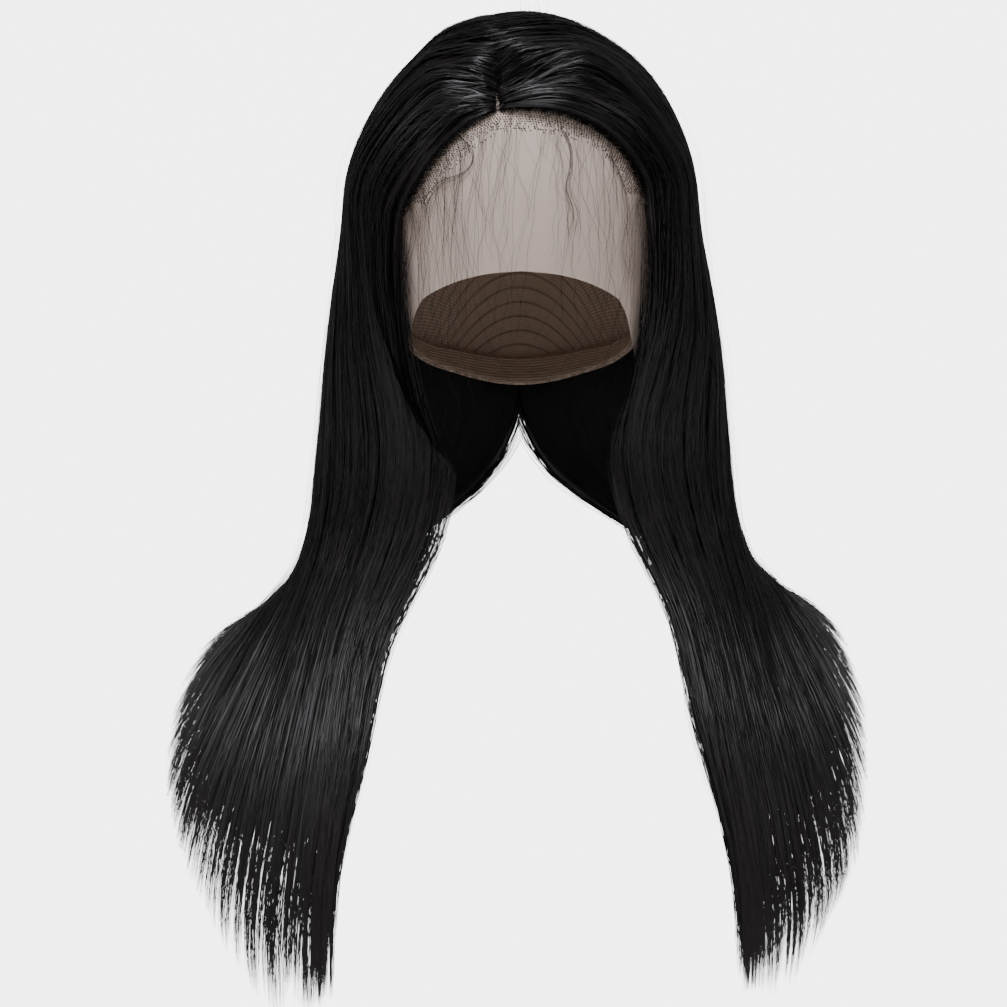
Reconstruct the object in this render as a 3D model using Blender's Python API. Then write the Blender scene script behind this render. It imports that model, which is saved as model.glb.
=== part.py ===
"""A lace front wig with long straight hair, divided at the back and drawn forward over both shoulders.

The wig faces -Y, +Z is up, and the origin is inside the cap, where the crown of the head bears on it.
Left and right are the wearer's, so the left half is at +X. All lengths are in metres.
"""

import math

import bmesh
import bpy
import numpy as np

# The head that the wig is worn on: an egg of two half ellipsoids that meet at its widest level.
HEAD_WIDTH = 0.152
HEAD_LENGTH = 0.188
CROWN_HEIGHT = 0.090
LOWER_HEAD_HEIGHT = 0.150

# The sewn cap and the lace. Their edges are measured round the line between the ears.
CAP_WALL = 0.0015
LACE_WALL = 0.0010
SEAM_GAP = 0.0004
EAR_DROP = 0.128
EAR_SETBACK = 0.002
EAR_OPENING_ANGLE = 66.0
SEAM_ANGLE = -3.0

# The elastic band that holds the nape edge to the head.
BAND_WALL = 0.0012
BAND_WIDTH = 0.016
BAND_GAP = 0.0008
BAND_END_ANGLE = 54.0

# The hair, as it lies over the head and hangs.
HAIR_LIFT = 0.0136
HAIR_CLEARANCE = 0.0016
HAIR_DROP = 0.486
HALF_SPREAD = 0.176
FORWARD_REACH = 0.103
SHOULDER_SKEW = 0.006
NECK_SHIFT = 0.005
CROWN_SKEW = 0.14
PART_OFFSET = -0.012
PART_WIDTH = 0.0030
PART_HEIGHT = 0.22
PART_SHARE = 0.45
BACK_PART_WIDTH = 0.0010
BUNDLE_GAP = 0.0008

# The locks of each bundle of hair. The shares are of a lock's width, the hair's thickness and the
# hair's length.
LOCKS = 4
LOCK_CELLS = 3
GROOVE_SHARE = 0.14
GROOVE_HEIGHT = 0.76
SPLIT_SHARE = 0.82
TIP_NARROWING = 0.72
TIP_REACH = (0.86, 1.0, 0.90, 0.97)
EDGE_SHARE = 0.16
EDGE_HEIGHT = 0.32

# Mesh divisions.
ARCH_CELLS = 22
LACE_ROWS = 12
CAP_ROWS = 13
BAND_CELLS = 18
BAND_ROWS = 2
HEAD_HAIR_ROWS = 10
FALL_HAIR_ROWS = 13

# Free edge of the lace, as seen from between the ears: the side angle from the middle of the face,
# and the angle of the edge from straight up, forwards. The last rows go round the tab before the ear.
LACE_EDGE = (
    # side_angle, edge_angle
    (0.0, 88.0),
    (12.0, 89.0),
    (24.0, 92.0),
    (36.0, 98.0),
    (42.0, 110.0),
    (48.0, 138.0),
    (54.0, 150.0),
    (60.0, 138.0),
    (66.0, 112.0),
)

# Nape edge of the cap, in the same angles, backwards.
NAPE_EDGE = (
    # side_angle, edge_angle
    (0.0, -122.0),
    (24.0, -122.0),
    (42.0, -125.0),
    (54.0, -124.0),
    (66.0, -104.0),
)

# The hairline, which is the front edge of the hair on the head, from the parting down each temple:
# its turn from the face towards the side and its drop from the crown, in degrees.
HAIRLINE = (
    # left_turn, left_drop, right_turn, right_drop
    (0.0, 60.0, 0.0, 60.0),
    (22.0, 63.0, 14.0, 66.0),
    (36.0, 70.0, 27.0, 75.0),
    (46.0, 84.0, 39.0, 88.0),
)

# Sections across the hair where it lies on the head, one for each row of the hairline: the middle and
# the back edge, in the same angles. thickness is a share of HAIR_LIFT.
HEAD_SECTIONS = (
    # middle_turn, middle_drop, back_turn, back_drop, thickness
    (0.0, 14.0, 180.0, 26.0, 1.00),
    (66.0, 30.0, 180.0, 46.0, 0.92),
    (84.0, 54.0, 180.0, 69.0, 0.98),
    (95.0, 79.0, 180.0, 92.0, 1.08),
)

# Sections across the hair where it hangs. For the front edge, the middle and the back edge, x is a
# share of HALF_SPREAD, y of FORWARD_REACH and z of HAIR_DROP.
FALL_SECTIONS = (
    # front_x, front_y, front_z, middle_x, middle_y, middle_z, back_x, back_y, back_z, thickness
    (0.348, -0.610, -0.214, 0.466, 0.150, -0.264, 0.003, 0.935, -0.288, 1.08),
    (0.338, -0.490, -0.309, 0.500, 0.200, -0.355, 0.003, 0.845, -0.375, 1.04),
    (0.284, -0.310, -0.422, 0.536, 0.260, -0.444, 0.130, 0.760, -0.464, 0.94),
    (0.310, -0.310, -0.519, 0.592, 0.200, -0.540, 0.480, 0.550, -0.556, 0.78),
    (0.426, -0.500, -0.630, 0.705, -0.160, -0.644, 0.868, 0.080, -0.620, 0.62),
    (0.462, -0.835, -0.746, 0.755, -0.620, -0.758, 0.990, -0.330, -0.722, 0.56),
    (0.528, -0.980, -0.876, 0.770, -0.875, -0.888, 1.000, -0.545, -0.836, 0.42),
    (0.534, -1.000, -0.984, 0.745, -0.895, -1.000, 0.885, -0.600, -0.905, 0.14),
)
SECTIONS = len(HEAD_SECTIONS) + len(FALL_SECTIONS)

# The three bundles of each half, from the face to the back, as shares of the way round.
BUNDLES = (("front_hair", 0.0, 0.34), ("side_hair", 0.34, 0.67), ("back_hair", 0.67, 1.0))

BLACK_HAIR = (0.013, 0.010, 0.010)
SHEER_LACE = (0.72, 0.55, 0.43)
CAP_NET = (0.45, 0.30, 0.21)
ELASTIC = (0.50, 0.35, 0.25)

CENTRE_TO_CROWN = np.array([0.0, 0.0, CROWN_HEIGHT])


def make_material(name, colour, roughness):
    material = bpy.data.materials.new(name)
    material.use_nodes = True
    shader = material.node_tree.nodes["Principled BSDF"]
    shader.inputs["Base Color"].default_value = (*colour, 1.0)
    shader.inputs["Roughness"].default_value = roughness
    shader.inputs["Metallic"].default_value = 0.0
    return material


def smooth_step(value):
    """0 below 0, 1 above 1, and a curve with level ends between."""
    value = np.clip(value, 0.0, 1.0)
    return value * value * (3.0 - 2.0 * value)


def spline(rows, place):
    """Points on the Catmull-Rom curve through rows, where place counts the rows from 0.

    The rows are the first axis, and the values of a row are the last. The axes between hold either
    one curve, or a curve of its own for each place.
    """
    padded = np.concatenate([2 * rows[:1] - rows[1:2], rows, 2 * rows[-1:] - rows[-2:-1]])
    place = np.clip(place, 0.0, len(rows) - 1.0)
    start = np.minimum(place.astype(int), len(rows) - 2)
    near = (np.take_along_axis(padded, (start + k)[None, ..., None], axis=0)[0] for k in range(4))
    before, first, second, after = near
    t = (place - start)[..., None]
    bend = 2 * before - 5 * first + 4 * second - after
    twist = 3 * (first - second) + after - before
    return first + 0.5 * t * (second - before + t * (bend + t * twist))


def parabola(front, middle, back, across):
    """The parabola that passes front at 0, middle at a half and back at 1."""
    return front * (1 - across) * (1 - 2 * across) + middle * 4 * across * (1 - across) \
        + back * across * (2 * across - 1)


def half_axes(points, offset):
    """The half width, half length and half height of the head at each point, grown by offset."""
    height = np.where(points[..., 2] >= 0.0, CROWN_HEIGHT, LOWER_HEAD_HEIGHT) + offset
    width = np.full_like(height, HEAD_WIDTH / 2 + offset)
    length = np.full_like(height, HEAD_LENGTH / 2 + offset)
    return np.stack([width, length, height], axis=-1)


def head_depth(points, offset):
    """How far out points lie, from 0 at the head's centre to 1 on its form grown by offset."""
    centred = points + CENTRE_TO_CROWN
    return np.linalg.norm(centred / half_axes(centred, offset), axis=-1, keepdims=True)


def moved_out(points, scale):
    """Points moved straight away from the head's centre by a factor."""
    return (points + CENTRE_TO_CROWN) * scale - CENTRE_TO_CROWN


def from_the_ears(edge_angle, side_angle, offset):
    """The points of the head's form that are seen at these angles from between the ears.

    edge_angle turns from straight up towards the face, and side_angle from the middle plane towards
    the left. The ray meets the ellipsoid of the upper head first, and that of the lower head where
    the first answer lies below the widest level.
    """
    edge, side = np.radians(edge_angle), np.radians(side_angle)
    ray = np.stack([np.sin(side), -np.cos(side) * np.sin(edge), np.cos(side) * np.cos(edge)], axis=-1)
    start = np.array([0.0, EAR_SETBACK, CROWN_HEIGHT - EAR_DROP])
    found = np.broadcast_to(CENTRE_TO_CROWN, ray.shape)
    for _ in range(2):
        axes = half_axes(found, offset)
        a = np.sum((ray / axes) ** 2, axis=-1)
        b = np.sum(ray * start / axes**2, axis=-1)
        c = np.sum((start / axes) ** 2, axis=-1) - 1.0
        found = start + ray * ((np.sqrt(b * b - a * c) - b) / a)[..., None]
    return found - CENTRE_TO_CROWN


def edge_at(table, side_angle):
    """The edge angle at each side angle, on a smooth curve through the rows of a table."""
    sides, edges = np.array(table).T
    place = np.interp(np.abs(side_angle), sides, np.arange(len(sides)))
    return spline(edges[:, None, None], place)[..., 0]


def link_mesh(name, points, faces, material):
    mesh = bpy.data.meshes.new(name)
    mesh.from_pydata([tuple(point) for point in points], [], [tuple(face) for face in faces])
    shape = bmesh.new()
    shape.from_mesh(mesh)
    bmesh.ops.recalc_face_normals(shape, faces=shape.faces)
    shape.to_mesh(mesh)
    shape.free()
    mesh.materials.append(material)
    mesh.shade_smooth()
    mesh.set_sharp_from_angle(angle=math.radians(50.0))
    made = bpy.data.objects.new(name, mesh)
    bpy.context.scene.collection.objects.link(made)
    return made


def closed_shell(name, inner, outer, cells, material):
    """A solid between two grids of points, where cells says which of the grid's squares it has.

    Each kept square has an inner and an outer face, and a wall on each side with no neighbour.
    """
    rows, columns = inner.shape[:2]
    layer = rows * columns
    faces = []
    for r, c in np.argwhere(cells):
        corners = [r * columns + c, r * columns + c + 1, (r + 1) * columns + c + 1, (r + 1) * columns + c]
        faces.append(corners[::-1])
        faces.append([corner + layer for corner in corners])
        for k, (row, column) in enumerate(((r - 1, c), (r, c + 1), (r + 1, c), (r, c - 1))):
            if 0 <= row < rows - 1 and 0 <= column < columns - 1 and cells[row, column]:
                continue
            near, far = corners[k], corners[(k + 1) % 4]
            faces.append([near, far, far + layer, near + layer])
    points = np.concatenate([inner.reshape(-1, 3), outer.reshape(-1, 3)])
    used, numbered = np.unique(np.array(faces), return_inverse=True)
    return link_mesh(name, points[used], numbered.reshape(-1, 4).tolist(), material)


def sewn_panel(name, rows, cells, side_limit, first_edge, last_edge, offset, wall, material):
    """A wall of cloth on the head's form between two edges, each a function of the side angle."""
    side = np.linspace(-side_limit, side_limit, cells + 1)
    share = np.linspace(0.0, 1.0, rows + 1)[:, None]
    edge = first_edge(side) + (last_edge(side) - first_edge(side)) * share
    side = np.broadcast_to(side, edge.shape)
    inner = from_the_ears(edge, side, offset)
    outer = from_the_ears(edge, side, offset + wall)
    return closed_shell(name, inner, outer, np.ones((rows, cells), bool), material)


def make_lace_front(material):
    gap_angle = math.degrees(SEAM_GAP / (EAR_DROP * math.cos(math.radians(EAR_OPENING_ANGLE))))
    sewn_panel(
        "lace_front", LACE_ROWS, ARCH_CELLS, EAR_OPENING_ANGLE,
        lambda side: np.full_like(side, SEAM_ANGLE + gap_angle),
        lambda side: edge_at(LACE_EDGE, side),
        0.0, LACE_WALL, material,
    )


def make_cap(material):
    sewn_panel(
        "wig_cap", CAP_ROWS, ARCH_CELLS, EAR_OPENING_ANGLE,
        lambda side: np.full_like(side, SEAM_ANGLE),
        lambda side: edge_at(NAPE_EDGE, side),
        0.0, CAP_WALL, material,
    )


def make_nape_band(material):
    band_angle = math.degrees(BAND_WIDTH / (HEAD_LENGTH / 2))
    sewn_panel(
        "nape_band", BAND_ROWS, BAND_CELLS, BAND_END_ANGLE,
        lambda side: edge_at(NAPE_EDGE, side) + band_angle,
        lambda side: edge_at(NAPE_EDGE, side),
        -BAND_GAP - BAND_WALL, BAND_WALL, material,
    )


def direction(turn, drop):
    """Unit vector at a turn from the face towards the left and a drop from the crown, in degrees."""
    turn, drop = math.radians(turn), math.radians(drop)
    return (math.sin(drop) * math.sin(turn), -math.sin(drop) * math.cos(turn), math.cos(drop))


def hair_sections(across, side):
    """The point of every section at each share across: (sections, ..., 3).

    On the head, a section is the parabola through its three directions, set on the head's form.
    Below it, a section is a parabola in the turn round the middle, the reach out and the height.
    """
    rest = CAP_WALL + HAIR_CLEARANCE
    u = across[..., None]
    sections = []
    for (*left, right_turn, right_drop), (*behind, _) in zip(HAIRLINE, HEAD_SECTIONS):
        angles = np.reshape([*(left if side > 0 else (right_turn, right_drop)), *behind], (3, 2))
        rays = parabola(*(np.array(direction(*pair)) for pair in angles), u)
        scale = np.linalg.norm(rays / half_axes(rays, rest), axis=-1, keepdims=True)
        sections.append(rays / scale - CENTRE_TO_CROWN)
    for *shares, _ in FALL_SECTIONS:
        x, y, z = (np.array(shares).reshape(3, 3) * (HALF_SPREAD, FORWARD_REACH, HAIR_DROP)).T
        turn = parabola(*np.arctan2(x, -y), across)
        reach = parabola(*np.hypot(x, y), across)
        sections.append(np.stack([reach * np.sin(turn), -reach * np.cos(turn), parabola(*z, across)], axis=-1))
    return np.array(sections)


def parting_share(across):
    """1 where the hair parts over the lace, and 0 behind it, where the parting is closed."""
    return 1.0 - smooth_step((across - PART_SHARE / 2.0) / (PART_SHARE / 2.0))


def parting_shift(across, along, side):
    """How far sideways the hair is carried to the parting, which lies beside the middle plane."""
    near_root = 1.0 - smooth_step(along / 3.0)
    before_crown = 1.0 - smooth_step((across - 0.55) / 0.45)
    return side * PART_OFFSET * near_root * before_crown


def hair_surface(across, along, side):
    """The surface that the hair of one half lies on, as if that half were the left one.

    across runs from 0 at the front edge to 1 at the back edge, and along counts the sections from
    the root, which a smooth curve joins at each share across. On the head the result is set on the
    head's form, and below it nothing is left inside that form.
    """
    rest = CAP_WALL + HAIR_CLEARANCE
    last_on_head = len(HEAD_SECTIONS) - 1.0
    across, along = np.broadcast_arrays(across, along)
    points = spline(hair_sections(across, side), along)
    at_neck = smooth_step((along - last_on_head) / 2.0) * smooth_step((SECTIONS - 2.0 - along) / 3.0)
    over_shoulder = smooth_step((along - last_on_head - 2.0) / 3.0)
    points[..., 0] += parting_shift(across, along, side)
    points[..., 0] += side * NECK_SHIFT * at_neck * (1.0 - across) ** 2
    points[..., 2] += side * SHOULDER_SKEW * over_shoulder
    on_head = 1.0 - smooth_step(along - last_on_head)[..., None]
    points = moved_out(points, 1.0 + on_head * (1.0 / head_depth(points, rest) - 1.0))
    return moved_out(points, 1.0 / np.minimum(head_depth(points, rest), 1.0))


def hair_normal(across, along, side):
    """Outward unit normal of the surface that the hair lies on, from small steps both ways."""
    step = 0.01
    across_step = hair_surface(np.minimum(across + step, 1.0), along, side)
    across_step = across_step - hair_surface(np.maximum(across - step, 0.0), along, side)
    along_step = hair_surface(across, np.minimum(along + step, SECTIONS - 1.0), side)
    along_step = along_step - hair_surface(across, np.maximum(along - step, 0.0), side)
    normal = np.cross(along_step, across_step)
    return normal / np.linalg.norm(normal, axis=-1, keepdims=True)


def hair_thickness(across, along, side):
    """The hair's thickness: a smooth curve through the sections, thinner towards the free edges."""
    thickness = np.array([row[-1] for row in HEAD_SECTIONS + FALL_SECTIONS])
    base = spline(thickness.reshape(-1, *[1] * (along.ndim + 1)), along)[..., 0] * HAIR_LIFT
    front = EDGE_HEIGHT + (1.0 - EDGE_HEIGHT) * np.sqrt(np.clip(across / EDGE_SHARE, 0.0, 1.0))
    back = EDGE_HEIGHT + (1.0 - EDGE_HEIGHT) * np.sqrt(np.clip((1.0 - across) / EDGE_SHARE, 0.0, 1.0))
    free_back = smooth_step((along - len(HEAD_SECTIONS) - 1.0) / 2.0)
    parted = 1.0 - (1.0 - PART_HEIGHT) * parting_share(across) * (1.0 - smooth_step(along))
    fuller = 1.0 + side * CROWN_SKEW * (1.0 - smooth_step((along - 1.0) / 2.0)) * smooth_step(along)
    return base * front * parted * fuller * (1.0 - free_back * (1.0 - back))


def lock_columns(start, end):
    """Shares across for the mesh's columns, with each one's lock and its height over the grooves."""
    width = (end - start) / (LOCKS + GROOVE_SHARE * (LOCKS - 1))
    cell = np.arange(LOCK_CELLS + 1)
    first = start + np.arange(LOCKS)[:, None] * width * (1.0 + GROOVE_SHARE)
    shares = (first + width * cell / LOCK_CELLS).ravel()
    owners = np.repeat(np.arange(LOCKS), LOCK_CELLS + 1)
    heights = np.tile(np.where((cell == 0) | (cell == LOCK_CELLS), GROOVE_HEIGHT, 1.0), LOCKS)
    return shares, owners, heights


def kept_to_its_side(points, across, along, side):
    """Points kept clear of the parting on the head, and of the middle plane down the back."""
    parted = parting_share(across) * (along < 0.5)
    rim = (BACK_PART_WIDTH + (PART_WIDTH - BACK_PART_WIDTH) * parted) / 2
    near = along < len(HEAD_SECTIONS) + 1.5
    limit = np.where(near, parting_shift(across, along, side) + rim, -np.inf)
    kept = points.copy()
    kept[..., 0] = np.maximum(points[..., 0], limit)
    return kept


def make_bundle(name, start, end, side, material):
    """One bundle of hair, from the root to the tips of its locks. side is 1 left and -1 right."""
    head_rows = np.linspace(0.0, len(HEAD_SECTIONS), HEAD_HAIR_ROWS + 1)
    fall_rows = np.linspace(len(HEAD_SECTIONS), SECTIONS - 1.0, FALL_HAIR_ROWS + 1)[1:]
    split = fall_rows[np.argmin(np.abs(fall_rows - SPLIT_SHARE * (SECTIONS - 1.0)))]
    rows = np.concatenate([head_rows, fall_rows])[:, None]
    shares, owners, heights = lock_columns(start, end)
    lock_middle = np.array([shares[owners == k].mean() for k in range(LOCKS)])[owners]
    reach = np.array(TIP_REACH if side > 0 else TIP_REACH[::-1])[owners]
    free = np.clip((rows - split) / (SECTIONS - 1.0 - split), 0.0, 1.0)
    along = np.minimum(rows, split) + free * reach * (SECTIONS - 1.0 - split)
    across = lock_middle + (shares - lock_middle) * (1.0 - TIP_NARROWING * free**1.5)
    front, back = (hair_surface(np.full_like(rows, edge), rows, side) for edge in (start, end))
    inset = BUNDLE_GAP / 2 * (end - start) / np.linalg.norm(front - back, axis=-1)
    across = np.clip(across, start + inset * (start > 0.0), end - inset * (end < 1.0))
    inner = hair_surface(across, along, side)
    lift = hair_thickness(across, along, side) * heights
    outer = inner + hair_normal(across, along, side) * lift[..., None]
    mirror = np.array([side, 1.0, 1.0])
    inner, outer = (kept_to_its_side(layer, across, along, side) * mirror for layer in (inner, outer))
    cells = np.ones((len(rows) - 1, len(shares) - 1), bool)
    cells[np.ix_(rows[:-1, 0] >= split, owners[:-1] != owners[1:])] = False
    closed_shell(name, inner, outer, cells, material)


def build():
    for old in list(bpy.data.objects):
        bpy.data.objects.remove(old)
    make_lace_front(make_material("sheer_lace", SHEER_LACE, 0.8))
    make_cap(make_material("cap_net", CAP_NET, 0.85))
    make_nape_band(make_material("elastic", ELASTIC, 0.75))
    for label, start, end in BUNDLES:
        for suffix, side in (("left", 1.0), ("right", -1.0)):
            material = make_material(label + "_" + suffix, BLACK_HAIR, 0.35)
            make_bundle(label + "_" + suffix, start, end, side, material)


build()
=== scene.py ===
# %% [markdown]
# # A lace front wig
# A lace front wig is a sewn net cap with a sheer lace panel in front. Hair is knotted into the lace and
# sewn to the cap, parts over the middle, and falls in a long straight sheet that is divided at the back
# and drawn forward over both shoulders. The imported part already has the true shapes: a cap, a lace
# panel, a nape band and six bundles of hair. This script dresses them: finer shells of hair with locks,
# thousands of strands laid over them, the net, the lace with its knots, and the fine hair over the
# forehead. Everything is worked out as whole arrays with numpy, in metres.

import math

import bpy
import mathutils
import numpy as np
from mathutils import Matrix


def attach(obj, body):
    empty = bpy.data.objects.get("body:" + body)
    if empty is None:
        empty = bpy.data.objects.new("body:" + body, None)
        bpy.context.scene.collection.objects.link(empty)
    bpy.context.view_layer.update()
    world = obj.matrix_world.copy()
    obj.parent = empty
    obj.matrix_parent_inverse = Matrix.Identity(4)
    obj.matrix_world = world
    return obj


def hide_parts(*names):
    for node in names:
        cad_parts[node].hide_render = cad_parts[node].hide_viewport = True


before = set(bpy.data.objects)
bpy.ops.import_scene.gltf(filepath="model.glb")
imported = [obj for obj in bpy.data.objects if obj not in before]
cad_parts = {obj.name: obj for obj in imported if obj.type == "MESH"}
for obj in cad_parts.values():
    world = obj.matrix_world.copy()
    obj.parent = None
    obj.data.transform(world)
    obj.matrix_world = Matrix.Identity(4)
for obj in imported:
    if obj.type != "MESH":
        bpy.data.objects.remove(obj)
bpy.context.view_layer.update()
print("loaded", len(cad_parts), "solids")

# %% [markdown]
# ## The camera
# The photograph was taken level, from straight in front and far away, as for a product page. A long lens
# keeps both falls of hair in proportion. The image is square, so one width settles the framing.

# %% Camera
CAMERA_PLACE = (-0.0086, -2.0, -0.240)
PICTURE_WIDTH_THERE = 0.52364
SENSOR_WIDTH = 36.0

camera_data = bpy.data.cameras.new("camera")
camera_data.sensor_width = SENSOR_WIDTH
camera_data.lens = SENSOR_WIDTH * abs(CAMERA_PLACE[1]) / PICTURE_WIDTH_THERE
camera = bpy.data.objects.new("camera", camera_data)
camera.location = CAMERA_PLACE
camera.rotation_euler = (math.radians(90.0), 0.0, 0.0)
bpy.context.scene.collection.objects.link(camera)
bpy.context.scene.camera = camera
print("lens", round(camera_data.lens, 1), "mm")

# %% [markdown]
# ## The sizes of the part
# The pieces made here lie on the same forms as the solids, so the same named sizes and tables are
# written down first: the head that the wig fits, the edges of the lace and the cap, the hairline, and
# the sections that the hair passes through on its way down.

# %% Sizes and tables
HEAD_WIDTH = 0.152
HEAD_LENGTH = 0.188
CROWN_HEIGHT = 0.090
LOWER_HEAD_HEIGHT = 0.150
CENTRE_TO_CROWN = np.array([0.0, 0.0, CROWN_HEIGHT])

CAP_WALL = 0.0015
LACE_WALL = 0.0010
EAR_DROP = 0.128
EAR_SETBACK = 0.002
EAR_OPENING_ANGLE = 66.0
SEAM_ANGLE = -3.0
BAND_WALL = 0.0012
BAND_WIDTH = 0.016
BAND_GAP = 0.0008
BAND_END_ANGLE = 54.0

HAIR_LIFT = 0.0136
HAIR_CLEARANCE = 0.0016
HAIR_DROP = 0.486
HALF_SPREAD = 0.176
FORWARD_REACH = 0.103
SHOULDER_SKEW = 0.006
NECK_SHIFT = 0.005
CROWN_SKEW = 0.14
PART_OFFSET = -0.012
PART_HEIGHT = 0.22
PART_SHARE = 0.45
BUNDLES = (("front_hair", 0.0, 0.34), ("side_hair", 0.34, 0.67), ("back_hair", 0.67, 1.0))
SIDES = (("left", 1.0), ("right", -1.0))

# The free edge of the lace and the nape edge of the cap: side angle and edge angle from the ears.
LACE_EDGE = (
    (0.0, 88.0), (12.0, 89.0), (24.0, 92.0), (36.0, 98.0), (42.0, 110.0),
    (48.0, 138.0), (54.0, 150.0), (60.0, 138.0), (66.0, 112.0),
)
NAPE_EDGE = ((0.0, -122.0), (24.0, -122.0), (42.0, -125.0), (54.0, -124.0), (66.0, -104.0))

# The hairline: left turn, left drop, right turn, right drop, in degrees from the crown.
HAIRLINE = (
    (0.0, 60.0, 0.0, 60.0),
    (22.0, 63.0, 14.0, 66.0),
    (36.0, 70.0, 27.0, 75.0),
    (46.0, 84.0, 39.0, 88.0),
)

# Across the head: middle turn, middle drop, back turn, back drop, thickness.
HEAD_SECTIONS = (
    (0.0, 14.0, 180.0, 26.0, 1.00),
    (66.0, 30.0, 180.0, 46.0, 0.92),
    (84.0, 54.0, 180.0, 69.0, 0.98),
    (95.0, 79.0, 180.0, 92.0, 1.08),
)

# Below the head: front, middle and back points as shares of spread, reach and drop, then thickness.
FALL_SECTIONS = (
    (0.348, -0.610, -0.214, 0.466, 0.150, -0.264, 0.003, 0.935, -0.288, 1.08),
    (0.338, -0.490, -0.309, 0.500, 0.200, -0.355, 0.003, 0.845, -0.375, 1.04),
    (0.284, -0.310, -0.422, 0.536, 0.260, -0.444, 0.130, 0.760, -0.464, 0.94),
    (0.310, -0.310, -0.519, 0.592, 0.200, -0.540, 0.480, 0.550, -0.556, 0.78),
    (0.426, -0.500, -0.630, 0.705, -0.160, -0.644, 0.868, 0.080, -0.620, 0.62),
    (0.462, -0.835, -0.746, 0.755, -0.620, -0.758, 0.990, -0.330, -0.722, 0.56),
    (0.528, -0.980, -0.876, 0.770, -0.875, -0.888, 1.000, -0.545, -0.836, 0.42),
    (0.534, -1.000, -0.984, 0.745, -0.895, -1.000, 0.885, -0.600, -0.905, 0.14),
)
ON_HEAD = len(HEAD_SECTIONS)
LAST = ON_HEAD + len(FALL_SECTIONS) - 1.0
print("hair passes", int(LAST) + 1, "sections")

# %% [markdown]
# ## The head's form and the flow of the hair
# Cap, lace and hair all rest on one egg of two half ellipsoids. A place in the hair is given by two
# numbers: across, from 0 at the face to 1 at the back, and along, which counts the sections from the
# parting to the tips. A smooth curve through the sections gives the point, so a strand is simply a line
# of places with along growing. This way every strand follows the same flow as the solid below it.

# %% Forms
def smooth_step(value):
    """0 below 0, 1 above 1, and the curve 3v^2 - 2v^3 between."""
    value = np.clip(value, 0.0, 1.0)
    return value * value * (3.0 - 2.0 * value)


def spline(rows, place):
    """Catmull-Rom curve through rows: cubic pieces whose slope at a row is half the step past it."""
    padded = np.concatenate([2 * rows[:1] - rows[1:2], rows, 2 * rows[-1:] - rows[-2:-1]])
    place = np.clip(place, 0.0, len(rows) - 1.0)
    start = np.minimum(place.astype(int), len(rows) - 2)
    near = (np.take_along_axis(padded, (start + k)[None, ..., None], axis=0)[0] for k in range(4))
    before, first, second, after = near
    t = (place - start)[..., None]
    bend = 2 * before - 5 * first + 4 * second - after
    twist = 3 * (first - second) + after - before
    return first + 0.5 * t * (second - before + t * (bend + t * twist))


def parabola(front, middle, back, across):
    """The parabola that passes front at 0, middle at a half and back at 1."""
    return front * (1 - across) * (1 - 2 * across) + middle * 4 * across * (1 - across) \
        + back * across * (2 * across - 1)


def half_axes(points, offset):
    """Half width, length and height of the head, grown by offset, with the height of its own half."""
    height = np.where(points[..., 2] >= 0.0, CROWN_HEIGHT, LOWER_HEAD_HEIGHT) + offset
    width = np.full_like(height, HEAD_WIDTH / 2 + offset)
    length = np.full_like(height, HEAD_LENGTH / 2 + offset)
    return np.stack([width, length, height], axis=-1)


def head_depth(points, offset):
    """Length of each point divided by the half axes: 1 on the head's form grown by offset."""
    centred = points + CENTRE_TO_CROWN
    return np.linalg.norm(centred / half_axes(centred, offset), axis=-1, keepdims=True)


def moved_out(points, scale):
    """Points moved straight away from the head's centre by a factor."""
    return (points + CENTRE_TO_CROWN) * scale - CENTRE_TO_CROWN


def on_head_form(points, offset):
    """Points moved straight in or out until they lie on the head's form grown by offset."""
    return moved_out(points, 1.0 / head_depth(points, offset))


def from_the_ears(edge_angle, side_angle, offset):
    """Where a ray from between the ears, turned by two angles, leaves the head's form: the larger
    root of a quadratic, taken with the upper ellipsoid first and then with the half that it hit."""
    edge, side = np.radians(edge_angle), np.radians(side_angle)
    ray = np.stack([np.sin(side), -np.cos(side) * np.sin(edge), np.cos(side) * np.cos(edge)], axis=-1)
    start = np.array([0.0, EAR_SETBACK, CROWN_HEIGHT - EAR_DROP])
    found = np.broadcast_to(CENTRE_TO_CROWN, ray.shape)
    for _ in range(2):
        axes = half_axes(found, offset)
        a = np.sum((ray / axes) ** 2, axis=-1)
        b = np.sum(ray * start / axes**2, axis=-1)
        c = np.sum((start / axes) ** 2, axis=-1) - 1.0
        found = start + ray * ((np.sqrt(b * b - a * c) - b) / a)[..., None]
    return found - CENTRE_TO_CROWN


def edge_at(table, side_angle):
    """The edge angle at each side angle, on a smooth curve through the rows of a table."""
    sides, edges = np.array(table).T
    place = np.interp(np.abs(side_angle), sides, np.arange(len(sides)))
    return spline(edges[:, None, None], place)[..., 0]


def direction(turn, drop):
    """Unit vector at a turn from the face to the left and a drop from the crown, in degrees."""
    turn, drop = math.radians(turn), math.radians(drop)
    return (math.sin(drop) * math.sin(turn), -math.sin(drop) * math.cos(turn), math.cos(drop))


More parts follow.
